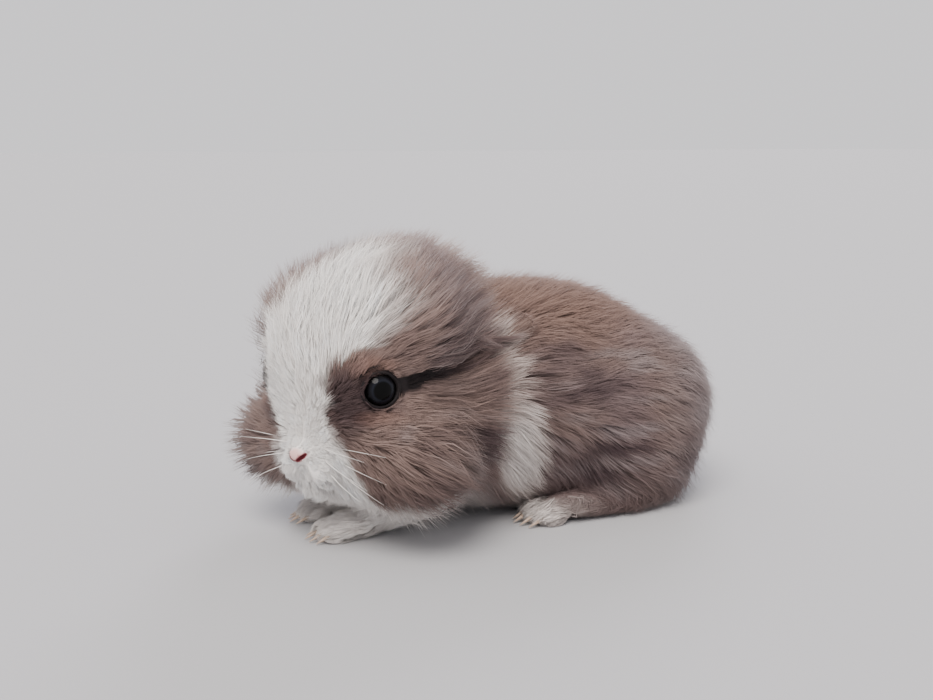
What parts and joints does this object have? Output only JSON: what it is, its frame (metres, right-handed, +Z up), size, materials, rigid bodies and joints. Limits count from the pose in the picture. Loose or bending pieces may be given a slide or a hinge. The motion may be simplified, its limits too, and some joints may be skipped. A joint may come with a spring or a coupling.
{
  "type": "teddy dwarf rabbit",
  "caption": "Long-haired dwarf rabbit lying in a loaf, its head turned aside, ears laid back in the coat and feet tucked under; a still life-size model that rests on the floor.",
  "frame": {"origin": "middle of the rabbit's box, on the floor that it rests on", "axes": "the rabbit looks along -X with its head turned towards -Y, its left flank is on the side of -Y, +Z is up"},
  "size_m": [0.2104, 0.1062, 0.1107],
  "materials": {
    "head": "long soft fur, white blaze and grey-brown cheeks",
    "neck": "long soft fur, a white collar",
    "torso": "long soft fur, sandy brown over a grey undercoat",
    "tail": "soft fur",
    "ears": "short fur with a bare pink inside",
    "eyes": "wet and clear over a dark iris",
    "forelegs": "short dense fur, white",
    "hindlegs": "long soft fur on the haunch, short fur on the foot"
  },
  "bodies": {
    "root": {"head": "head", "neck": "neck", "torso": "torso", "tail": "tail", "ear_left": "ears", "ear_right": "ears", "eye_left": "eyes", "eye_right": "eyes", "foreleg_left": "forelegs", "foreleg_right": "forelegs", "hindleg_left": "hindlegs", "hindleg_right": "hindlegs"}
  },
  "joints": []
}
